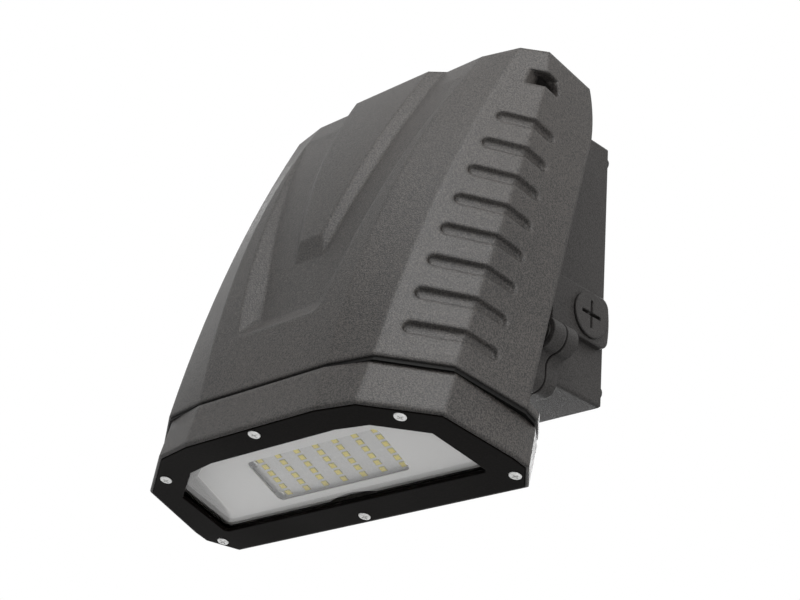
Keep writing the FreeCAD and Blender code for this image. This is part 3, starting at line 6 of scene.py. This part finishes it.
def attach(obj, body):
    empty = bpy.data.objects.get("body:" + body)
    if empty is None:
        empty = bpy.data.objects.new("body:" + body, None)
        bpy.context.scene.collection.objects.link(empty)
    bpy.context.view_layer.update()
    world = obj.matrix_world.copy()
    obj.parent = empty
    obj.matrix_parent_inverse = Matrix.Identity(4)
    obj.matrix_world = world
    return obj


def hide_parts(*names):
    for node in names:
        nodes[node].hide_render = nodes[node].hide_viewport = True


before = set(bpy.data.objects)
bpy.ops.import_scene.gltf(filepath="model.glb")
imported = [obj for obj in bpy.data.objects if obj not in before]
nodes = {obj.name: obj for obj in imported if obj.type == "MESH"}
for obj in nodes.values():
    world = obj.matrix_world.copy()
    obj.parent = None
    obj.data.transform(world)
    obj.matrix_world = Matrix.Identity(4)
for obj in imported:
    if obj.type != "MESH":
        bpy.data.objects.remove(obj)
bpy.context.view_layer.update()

# ---------------------------------------------------------------- castings
# Wall box, its cover, the two halves of the head and the cover behind them are
# die-cast aluminium under a textured powder coat, with soft cast edges. The
# conduit plugs get the same coat.
HEAD_COAT = ((0.0045, 0.0040, 0.0036, 1), (0.050, 0.0445, 0.0405, 1))   # pits, tops
HEAD_SPECULAR = 0.36
HEAD_EDGE_RADIUS = 0.0030
BOX_COAT = ((0.024, 0.0226, 0.0218, 1), (0.046, 0.0434, 0.0418, 1))
BOX_SPECULAR = 0.12
BOX_EDGE_RADIUS = 0.0012
COAT_GRAIN = {"Grain Scale": 1350.0, "Peel Scale": 2300.0, "Peel Share": 1.2, "Cloud Scale": 11.0}
COAT_CLOUD_SHARE = 0.25
COAT_SPAN = (0.50, 0.76)
COAT_ROUGHNESS = (0.40, 0.46)
COAT_BUMP = (0.7, 0.0002)
BEVEL_SAMPLES = 6


def node_in(tree, kind, place, **values):
    node = tree.nodes.new(kind)
    node.location = place
    for key, value in values.items():
        setattr(node, key, value)
    return node


def noise_in(tree, where, scale, detail, place):
    node = node_in(tree, "ShaderNodeTexNoise", place)
    node.inputs["Detail"].default_value = detail
    tree.links.new(where, node.inputs["Vector"])
    tree.links.new(scale, node.inputs["Scale"])
    return node.outputs["Fac"]


def math_in(tree, operation, first, second, place, third=None):
    node = node_in(tree, "ShaderNodeMath", place, operation=operation)
    for slot, value in enumerate((first, second, third)):
        if isinstance(value, (int, float)):
            node.inputs[slot].default_value = value
        elif value is not None:
            tree.links.new(value, node.inputs[slot])
    return node.outputs[0]


def grain_group():
    """Grain of a coat or a moulding: fine bumps, coarse orange peel, and slow cloudiness."""
    group = bpy.data.node_groups.new("surface_grain", "ShaderNodeTree")
    for name, value in (("Grain Scale", 900.0), ("Peel Scale", 260.0),
                        ("Peel Share", 0.4), ("Cloud Scale", 9.0)):
        socket = group.interface.new_socket(name, in_out="INPUT", socket_type="NodeSocketFloat")
        socket.default_value = value
    for name in ("Speck", "Cloud", "Height"):
        group.interface.new_socket(name, in_out="OUTPUT", socket_type="NodeSocketFloat")
    given = node_in(group, "NodeGroupInput", (-900, 0)).outputs
    where = node_in(group, "ShaderNodeTexCoord", (-900, -300)).outputs["Object"]
    fine = noise_in(group, where, given["Grain Scale"], 2.0, (-600, 200))
    peel = noise_in(group, where, given["Peel Scale"], 2.0, (-600, -100))
    cloud = noise_in(group, where, given["Cloud Scale"], 3.0, (-600, -400))
    height = math_in(group, "MULTIPLY_ADD", peel, given["Peel Share"], (-300, 0), fine)
    out = node_in(group, "NodeGroupOutput", (0, 0)).inputs
    group.links.new(fine, out["Speck"])
    group.links.new(cloud, out["Cloud"])
    group.links.new(height, out["Height"])
    return group


surface_grain = grain_group()


def start_material(name, specular=0.5, metal=0.0):
    mat = bpy.data.materials.new(name)
    mat.use_nodes = True
    shader = mat.node_tree.nodes["Principled BSDF"]
    shader.inputs["Specular IOR Level"].default_value = specular
    shader.inputs["Metallic"].default_value = metal
    return mat, mat.node_tree, shader


def grain_in(tree, scales):
    node = node_in(tree, "ShaderNodeGroup", (-1000, 0), node_tree=surface_grain)
    for name, value in scales.items():
        node.inputs[name].default_value = value
    return node.outputs


def colour_between(tree, mask, span, colours):
    node = node_in(tree, "ShaderNodeValToRGB", (-600, 200))
    for element, place, colour in zip(node.color_ramp.elements, span, colours):
        element.position, element.color = place, colour
    tree.links.new(mask, node.inputs["Fac"])
    return node.outputs["Color"]


def roughen(tree, shader, cloud, span):
    """Roughness that drifts slowly over the surface, within a span."""
    node = node_in(tree, "ShaderNodeMapRange", (-600, -50))
    for name, value in zip(("From Min", "From Max", "To Min", "To Max"), (0.3, 0.7, *span)):
        node.inputs[name].default_value = value
    tree.links.new(cloud, node.inputs["Value"])
    tree.links.new(node.outputs["Result"], shader.inputs["Roughness"])


def emboss(tree, shader, height, bump, edge_radius=None):
    """Relief in the surface, and edges that catch light as if they were rounded."""
    node = node_in(tree, "ShaderNodeBump", (-300, -300))
    node.inputs["Strength"].default_value, node.inputs["Distance"].default_value = bump
    tree.links.new(height, node.inputs["Height"])
    if edge_radius is not None:
        edge = node_in(tree, "ShaderNodeBevel", (-600, -400), samples=BEVEL_SAMPLES)
        edge.inputs["Radius"].default_value = edge_radius
        tree.links.new(edge.outputs["Normal"], node.inputs["Normal"])
    tree.links.new(node.outputs["Normal"], shader.inputs["Normal"])


def dress(mat, *names):
    for name in names:
        nodes[name].data.materials.clear()
        nodes[name].data.materials.append(mat)


def powder_coat(name, colours, specular, edge_radius):
    mat, tree, shader = start_material(name, specular)
    grain = grain_in(tree, COAT_GRAIN)
    mask = math_in(tree, "MULTIPLY_ADD", grain["Cloud"], COAT_CLOUD_SHARE, (-800, 200),
                   grain["Speck"])
    tree.links.new(colour_between(tree, mask, COAT_SPAN, colours), shader.inputs["Base Color"])
    roughen(tree, shader, grain["Cloud"], COAT_ROUGHNESS)
    emboss(tree, shader, grain["Height"], COAT_BUMP, edge_radius)
    return mat


dress(powder_coat("powder_coat", HEAD_COAT, HEAD_SPECULAR, HEAD_EDGE_RADIUS),
      "upper_housing", "lower_housing")
dress(powder_coat("powder_coat_box", BOX_COAT, BOX_SPECULAR, BOX_EDGE_RADIUS),
      "wall_box", "box_cover", "rear_cover", "conduit_plug_right", "conduit_plug_left")

# ---------------------------------------------------------------- gaskets and seals
# Black rubber strips and bushings, moulded, with a dull skin, and a strip of grey
# foam between the box and the wall. They are pressed in their grooves and holes.
RUBBER = ((0.002, 0.002, 0.002, 1), (0.007, 0.0066, 0.006, 1))
FOAM = ((0.020, 0.020, 0.020, 1), (0.045, 0.045, 0.044, 1))
MOULDED_BUMP = (0.3, 0.0001)
MOULDED_SPAN = (0.35, 0.7)
MOULDED_DRIFT = 0.06


def moulded(name, colours, roughness, specular=0.4, scale=700.0):
    mat, tree, shader = start_material(name, specular)
    grain = grain_in(tree, {"Grain Scale": scale, "Peel Scale": scale * 0.3, "Cloud Scale": 20.0})
    tree.links.new(colour_between(tree, grain["Speck"], MOULDED_SPAN, colours),
                   shader.inputs["Base Color"])
    roughen(tree, shader, grain["Cloud"], (roughness - MOULDED_DRIFT, roughness + MOULDED_DRIFT))
    emboss(tree, shader, grain["Height"], MOULDED_BUMP)
    return mat


dress(moulded("foam_grey", FOAM, 0.7, 0.3, 500.0), "wall_gasket")
dress(moulded("rubber_black", RUBBER, 0.6, 0.12),
      "plug_seals", "cover_gasket", "cover_bushing", "seam_gasket",
      "lens_seal", "rear_gasket", "head_bushing", "vent_plug")

# ---------------------------------------------------------------- driver and wiring parts
# Driver in its pressed aluminium case, potted surge protector, cream terminal block,
# and the acetal washers that the head turns on. They are screwed or pinned in place.
DRIVER_CASE = ((0.42, 0.42, 0.41, 1), (0.52, 0.52, 0.51, 1))
POTTED_BLACK = ((0.010, 0.010, 0.010, 1), (0.022, 0.022, 0.022, 1))
TERMINAL_CREAM = ((0.62, 0.58, 0.48, 1), (0.72, 0.68, 0.58, 1))
ACETAL_WHITE = ((0.52, 0.52, 0.50, 1), (0.62, 0.62, 0.60, 1))
METAL_GRAIN = {"Grain Scale": 1680.0, "Peel Scale": 420.0, "Peel Share": 0.8, "Cloud Scale": 60.0}
METAL_SPAN = (0.3, 0.7)
METAL_BUMP = (0.12, 0.00006)
METAL_EDGE_RADIUS = 0.0003


def metal(name, colours, roughness, metallic=1.0):
    mat, tree, shader = start_material(name, metal=metallic)
    grain = grain_in(tree, METAL_GRAIN)
    tree.links.new(colour_between(tree, grain["Cloud"], METAL_SPAN, colours),
                   shader.inputs["Base Color"])
    roughen(tree, shader, grain["Cloud"], (roughness - 0.05, roughness + 0.08))
    emboss(tree, shader, grain["Height"], METAL_BUMP, METAL_EDGE_RADIUS)
    return mat


dress(metal("driver_case", DRIVER_CASE, 0.4), "driver_case")
dress(moulded("potted_black", POTTED_BLACK, 0.5), "surge_protector")
dress(moulded("terminal_cream", TERMINAL_CREAM, 0.5), "terminal_block")
dress(moulded("acetal_white", ACETAL_WHITE, 0.4), "friction_washers")

# ---------------------------------------------------------------- reflector tray and board
# Pressed tray with a white reflective film on its flat. Its sloped rim and the window's edge
# are painted shade, darker the further they lie from the flat. The board behind the window is
# white too.
TRAY_REACH = 0.010               # from the flat to either end of the colours below
TRAY_FILM = (0.67, 0.665, 0.66, 1)
# White film at the flat, painted shade on either side of it: dark rim and dark window edge.
TRAY_FILM_AND_SHADE_STOPS = ((0.00, (0.020, 0.018, 0.017, 1)), (0.47, (0.040, 0.037, 0.035, 1)),
              (0.495, TRAY_FILM), (0.505, TRAY_FILM),
              (0.525, (0.26, 0.255, 0.25, 1)), (0.60, (0.12, 0.115, 0.11, 1)),
              (1.00, (0.05, 0.048, 0.046, 1)))
TRAY_GRAIN = {"Grain Scale": 500.0, "Peel Scale": 150.0, "Cloud Scale": 20.0}
BOARD_WHITE = ((0.52, 0.515, 0.51, 1), (0.60, 0.595, 0.59, 1))


def under_face(name):
    """Broad underside of a flat part: the way it faces, and how far it lies that way."""
    faces = [face for face in nodes[name].data.polygons if face.normal.z < -0.5]
    broad = max(faces, key=lambda face: face.area)
    return broad.normal.copy(), broad.normal.dot(broad.center)


tray_face, tray_depth = under_face("reflector_tray")
mat, tree, shader = start_material("tray_film_painted_shade", 0.4)
depth = node_in(tree, "ShaderNodeVectorMath", (-1200, 400), operation="DOT_PRODUCT")
depth.inputs[1].default_value = tray_face
where = node_in(tree, "ShaderNodeTexCoord", (-1400, 400)).outputs["Object"]
tree.links.new(where, depth.inputs[0])
level = node_in(tree, "ShaderNodeMapRange", (-1000, 400))
level.inputs["From Min"].default_value = tray_depth - TRAY_REACH
level.inputs["From Max"].default_value = tray_depth + TRAY_REACH
tree.links.new(depth.outputs["Value"], level.inputs["Value"])
# One ramp gives the white film on the flat and the painted shade on the rim and window edge.
film_and_shade_ramp = node_in(tree, "ShaderNodeValToRGB", (-700, 400))
stops = film_and_shade_ramp.color_ramp.elements
stops[0].color, stops[1].color = TRAY_FILM_AND_SHADE_STOPS[0][1], TRAY_FILM_AND_SHADE_STOPS[-1][1]
for place, colour in TRAY_FILM_AND_SHADE_STOPS[1:-1]:
    stops.new(place).color = colour
tree.links.new(level.outputs["Result"], film_and_shade_ramp.inputs["Fac"])
tree.links.new(film_and_shade_ramp.outputs["Color"], shader.inputs["Base Color"])
grain = grain_in(tree, TRAY_GRAIN)
roughen(tree, shader, grain["Cloud"], (0.36, 0.48))
emboss(tree, shader, grain["Height"], (0.15, 0.0001))
dress(mat, "reflector_tray")
dress(moulded("board_white", BOARD_WHITE, 0.45, 0.4, 900.0), "led_board")

# ---------------------------------------------------------------- light-giving chips
# Mid-power packages soldered on the board in rows: a moulded body with a cup, filled
# with yellow phosphor. One package is built and set on every place of the board.
CHIP_SIZE = {"Length": 0.0035, "Width": 0.0030, "Height": 0.0005,
             "Cup Share": 0.86, "Cup Depth": 0.00012}
CHIP_BODY = ((0.42, 0.35, 0.04, 1), (0.52, 0.45, 0.08, 1))
PHOSPHOR = ((0.66, 0.54, 0.006, 1), (0.82, 0.68, 0.012, 1))


def island_centres(mesh):
    """Middle of each separate solid in a mesh."""
    work = bmesh.new()
    work.from_mesh(mesh)
    bmesh.ops.remove_doubles(work, verts=work.verts, dist=1e-6)
    left = set(work.verts)
    centres = []
    while left:
        stack = [left.pop()]
        island = list(stack)
        while stack:
            for edge in stack.pop().link_edges:
                for vert in edge.verts:
                    if vert in left:
                        left.remove(vert)
                        stack.append(vert)
                        island.append(vert)
        low = Vector([min(vert.co[axis] for vert in island) for axis in range(3)])
        high = Vector([max(vert.co[axis] for vert in island) for axis in range(3)])
        centres.append((low + high) / 2)
    work.free()
    return sorted(centres, key=lambda place: (round(place.x, 5), round(place.y, 5)))


def package_tree(body, phosphor):
    """Node tree that sets a package on each point, and the keys of its inputs."""
    group = bpy.data.node_groups.new("led_package", "GeometryNodeTree")

    def input_key(name, kind="NodeSocketFloat"):
        return group.interface.new_socket(name, in_out="INPUT", socket_type=kind).identifier

    input_key("Geometry", "NodeSocketGeometry")
    keys = {name: input_key(name) for name in CHIP_SIZE}
    keys["Turn"] = input_key("Turn", "NodeSocketVector")
    group.interface.new_socket("Geometry", in_out="OUTPUT", socket_type="NodeSocketGeometry")
    given = node_in(group, "NodeGroupInput", (-1400, 0)).outputs
    link = group.links.new

    size = node_in(group, "ShaderNodeCombineXYZ", (-1200, 200))
    for axis, name in (("X", "Length"), ("Y", "Width"), ("Z", "Height")):
        link(given[name], size.inputs[axis])
    block = node_in(group, "GeometryNodeMeshCube", (-1000, 200))
    link(size.outputs["Vector"], block.inputs["Size"])
    facing = node_in(group, "GeometryNodeInputNormal", (-1200, -100)).outputs["Normal"]
    normal = node_in(group, "ShaderNodeSeparateXYZ", (-1000, -100))
    link(facing, normal.inputs["Vector"])
    front = math_in(group, "GREATER_THAN", normal.outputs["Z"], 0.5, (-800, -100))

    lip = node_in(group, "GeometryNodeExtrudeMesh", (-600, 200), mode="FACES")
    lip.inputs["Offset Scale"].default_value = 0.0
    link(block.outputs["Mesh"], lip.inputs["Mesh"])
    link(front, lip.inputs["Selection"])
    inset = node_in(group, "GeometryNodeScaleElements", (-400, 200), domain="FACE")
    link(lip.outputs["Mesh"], inset.inputs["Geometry"])
    link(lip.outputs["Top"], inset.inputs["Selection"])
    link(given["Cup Share"], inset.inputs["Scale"])
    inwards = math_in(group, "MULTIPLY", given["Cup Depth"], -1.0, (-400, -100))
    cup = node_in(group, "GeometryNodeExtrudeMesh", (-200, 200), mode="FACES")
    link(inset.outputs["Geometry"], cup.inputs["Mesh"])
    link(lip.outputs["Top"], cup.inputs["Selection"])
    link(inwards, cup.inputs["Offset Scale"])

    shell = node_in(group, "GeometryNodeSetMaterial", (0, 200))
    shell.inputs["Material"].default_value = body
    link(cup.outputs["Mesh"], shell.inputs["Geometry"])
    fill = node_in(group, "GeometryNodeSetMaterial", (200, 200))
    fill.inputs["Material"].default_value = phosphor
    link(shell.outputs["Geometry"], fill.inputs["Geometry"])
    link(cup.outputs["Top"], fill.inputs["Selection"])

    turn = node_in(group, "FunctionNodeEulerToRotation", (200, -200))
    link(given["Turn"], turn.inputs[0])
    place = node_in(group, "GeometryNodeInstanceOnPoints", (400, 0))
    link(given["Geometry"], place.inputs["Points"])
    link(fill.outputs["Geometry"], place.inputs["Instance"])
    link(turn.outputs[0], place.inputs["Rotation"])
    real = node_in(group, "GeometryNodeRealizeInstances", (600, 0))
    link(place.outputs["Instances"], real.inputs["Geometry"])
    out = node_in(group, "NodeGroupOutput", (800, 0))
    link(real.outputs["Geometry"], out.inputs["Geometry"])
    return group, keys


def grown_mesh(name, points, group, values):
    """Piece with the plain mesh that a node tree grows on points."""
    mesh = bpy.data.meshes.new(name + "_points")
    mesh.from_pydata(points, [], [])
    carrier = bpy.data.objects.new(name + "_points", mesh)
    bpy.context.scene.collection.objects.link(carrier)
    modifier = carrier.modifiers.new("grow", "NODES")
    modifier.node_group = group
    for key, value in values.items():
        modifier[key] = value
    evaluated = carrier.evaluated_get(bpy.context.evaluated_depsgraph_get())
    result = bpy.data.meshes.new_from_object(evaluated)
    result.name = name
    bpy.data.objects.remove(carrier)
    piece = bpy.data.objects.new(name, result)
    bpy.context.scene.collection.objects.link(piece)
    return piece


board_face = under_face("led_board")[0]
across = Vector((1.0, 0.0, 0.0))
chip_turn = Matrix((across, board_face.cross(across), board_face)).transposed().to_euler()
chip_group, chip_keys = package_tree(moulded("chip_body", CHIP_BODY, 0.4, 0.5, 1500.0),
                                     moulded("phosphor", PHOSPHOR, 0.4, 0.5, 1500.0))
chip_values = {chip_keys[name]: value for name, value in CHIP_SIZE.items()}
chip_values[chip_keys["Turn"]] = tuple(chip_turn)
chips = grown_mesh("led_packages", island_centres(nodes["led_chips"].data), chip_group,
                   chip_values)
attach(chips, "head")
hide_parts("led_chips")

# ---------------------------------------------------------------- lens
# One flat pane of clear tempered glass, ground at its edges, that lies on its seal
# and is held by the frame.
GLASS = ((0.985, 0.985, 0.98, 1), (0.995, 0.995, 0.99, 1))
GLASS_GRAIN = {"Grain Scale": 60.0, "Peel Scale": 20.0, "Cloud Scale": 14.0}

mat, tree, shader = start_material("lens_clear")
shader.inputs["Transmission Weight"].default_value = 1.0
shader.inputs["IOR"].default_value = 1.45
grain = grain_in(tree, GLASS_GRAIN)
tree.links.new(colour_between(tree, grain["Cloud"], (0.3, 0.7), GLASS),
               shader.inputs["Base Color"])
roughen(tree, shader, grain["Cloud"], (0.01, 0.03))
dress(mat, "lens_glass")

# ---------------------------------------------------------------- lens frame
# Flat cast plate with a smoother black coat, screwed on from below, which clamps the
# lens on its seal.
FRAME_BLACK = ((0.0024, 0.0018, 0.0015, 1), (0.0060, 0.0047, 0.0040, 1))
FRAME_GRAIN = {"Grain Scale": 1200.0, "Peel Scale": 400.0, "Peel Share": 0.3, "Cloud Scale": 14.0}
FRAME_EDGE_RADIUS = 0.0009

mat, tree, shader = start_material("frame_black", 0.02)
grain = grain_in(tree, FRAME_GRAIN)
tree.links.new(colour_between(tree, grain["Speck"], (0.4, 0.7), FRAME_BLACK),
               shader.inputs["Base Color"])
roughen(tree, shader, grain["Cloud"], (0.36, 0.46))
emboss(tree, shader, grain["Height"], (0.25, 0.00012), FRAME_EDGE_RADIUS)
dress(mat, "lens_frame")

# ---------------------------------------------------------------- bolts and screws
# Stainless screws, bolts and the folded bracket are bright and fine-grained; the lens
# screws have a pale zinc coat. The cover bolts and their washers are blackened.
STAINLESS = ((0.60, 0.60, 0.59, 1), (0.78, 0.78, 0.77, 1))
ZINC_COAT = ((0.78, 0.78, 0.77, 1), (0.92, 0.92, 0.91, 1))
BLACKENED = ((0.030, 0.029, 0.028, 1), (0.075, 0.072, 0.070, 1))
BRASS = ((0.62, 0.45, 0.18, 1), (0.75, 0.58, 0.26, 1))
EARTH_GREEN = ((0.02, 0.20, 0.04, 1), (0.05, 0.32, 0.08, 1))

dress(metal("stainless", STAINLESS, 0.26),
      "body_screws", "board_screws", "driver_screws", "rear_screws",
      "pivot_bolts", "pivot_nuts", "pivot_washers", "driver_bracket")
dress(metal("zinc_flake", ZINC_COAT, 0.38, 0.2), "lens_screws")
dress(metal("blackened_steel", BLACKENED, 0.42), "cover_bolts", "cover_washers")
dress(metal("brass", BRASS, 0.3), "terminal_screws")
dress(metal("green_screw", EARTH_GREEN, 0.4), "ground_screw")

# ---------------------------------------------------------------- floor and backdrop
# Plain pale floor and a plain pale surround. Both are white to the camera, in gloss
# and through glass, and light the object only faintly.
FLOOR_Z = -1.2
FLOOR_HALF = 3.0
FLOOR_COLOUR = (0.72, 0.72, 0.72, 1)
FLOOR_ROUGHNESS = 0.7
SURROUND_LIGHT = 0.06

mesh = bpy.data.meshes.new("floor")
mesh.from_pydata([(-FLOOR_HALF, -FLOOR_HALF, FLOOR_Z), (FLOOR_HALF, -FLOOR_HALF, FLOOR_Z),
                  (FLOOR_HALF, FLOOR_HALF, FLOOR_Z), (-FLOOR_HALF, FLOOR_HALF, FLOOR_Z)],
                 [], [(0, 1, 2, 3)])
floor = bpy.data.objects.new("floor", mesh)
bpy.context.scene.collection.objects.link(floor)


def white_where_seen(tree, lit, white, output):
    """Shows the white shader to camera, glossy and transmission rays, and lit to the rest."""
    path = node_in(tree, "ShaderNodeLightPath", (-400, 400)).outputs
    straight = math_in(tree, "MAXIMUM", path["Is Camera Ray"], path["Is Glossy Ray"], (-100, 400))
    seen = math_in(tree, "MAXIMUM", straight, path["Is Transmission Ray"], (100, 400))
    mixer = node_in(tree, "ShaderNodeMixShader", (300, 0))
    tree.links.new(seen, mixer.inputs["Fac"])
    tree.links.new(lit, mixer.inputs[1])
    tree.links.new(white, mixer.inputs[2])
    tree.links.new(mixer.outputs["Shader"], tree.nodes[output].inputs["Surface"])


mat, tree, shader = start_material("floor_pale")
shader.inputs["Base Color"].default_value = FLOOR_COLOUR
shader.inputs["Roughness"].default_value = FLOOR_ROUGHNESS
white = node_in(tree, "ShaderNodeEmission", (0, -300))
white_where_seen(tree, shader.outputs["BSDF"], white.outputs["Emission"], "Material Output")
mesh.materials.append(mat)

world = bpy.data.worlds.new("studio")
bpy.context.scene.world = world
world.use_nodes = True
tree = world.node_tree
soft = tree.nodes["Background"]
soft.inputs["Color"].default_value = (1, 1, 1, 1)
soft.inputs["Strength"].default_value = SURROUND_LIGHT
white = node_in(tree, "ShaderNodeBackground", (-200, -300))
white.inputs["Color"].default_value = (1, 1, 1, 1)
white_where_seen(tree, soft.outputs["Background"], white.outputs["Background"], "World Output")

# ---------------------------------------------------------------- studio lights
# A square softbox in front and above to the right, one at the right side, and one
# behind on the left, so that the back can be seen too. All aim at the head's middle.
LIGHT_TARGET = Vector((0.0, -0.09, 0.0))


def softbox(name, direction, distance, side, watts):
    data = bpy.data.lights.new(name, "AREA")
    data.shape = "SQUARE"
    data.size = side
    data.energy = watts
    light = bpy.data.objects.new(name, data)
    bpy.context.scene.collection.objects.link(light)
    toward = Vector(direction).normalized()
    light.location = LIGHT_TARGET + toward * distance
    light.rotation_euler = toward.to_track_quat("Z", "Y").to_euler()


softbox("front_box", (0.36, -0.56, 0.72), 1.6, 1.1, 27.0)
softbox("side_box", (0.95, -0.28, 0.10), 1.6, 1.2, 22.5)
softbox("back_box", (-0.60, 0.75, 0.25), 1.7, 1.3, 30.0)

# ---------------------------------------------------------------- camera
# Looks up at the light from below, in front of it and to its right.
CAMERA_PLACE = (0.5498, -0.6185, -0.3875)
CAMERA_RIGHT = Vector((0.7246, 0.6847, 0.0784))
CAMERA_UP = Vector((0.2404, -0.3577, 0.9024))
CAMERA_BACK = Vector((0.6459, -0.6350, -0.4238))
LENS_MM = 75.54
SENSOR_MM = 36.0

camera_data = bpy.data.cameras.new("camera")
camera_data.lens = LENS_MM
camera_data.sensor_width = SENSOR_MM
camera = bpy.data.objects.new("camera", camera_data)
bpy.context.scene.collection.objects.link(camera)
turn = Matrix((CAMERA_RIGHT, CAMERA_UP, CAMERA_BACK)).transposed()
camera.matrix_world = Matrix.Translation(CAMERA_PLACE) @ turn.to_4x4()
bpy.context.scene.camera = camera
bpy.context.scene.view_settings.view_transform = "Standard"
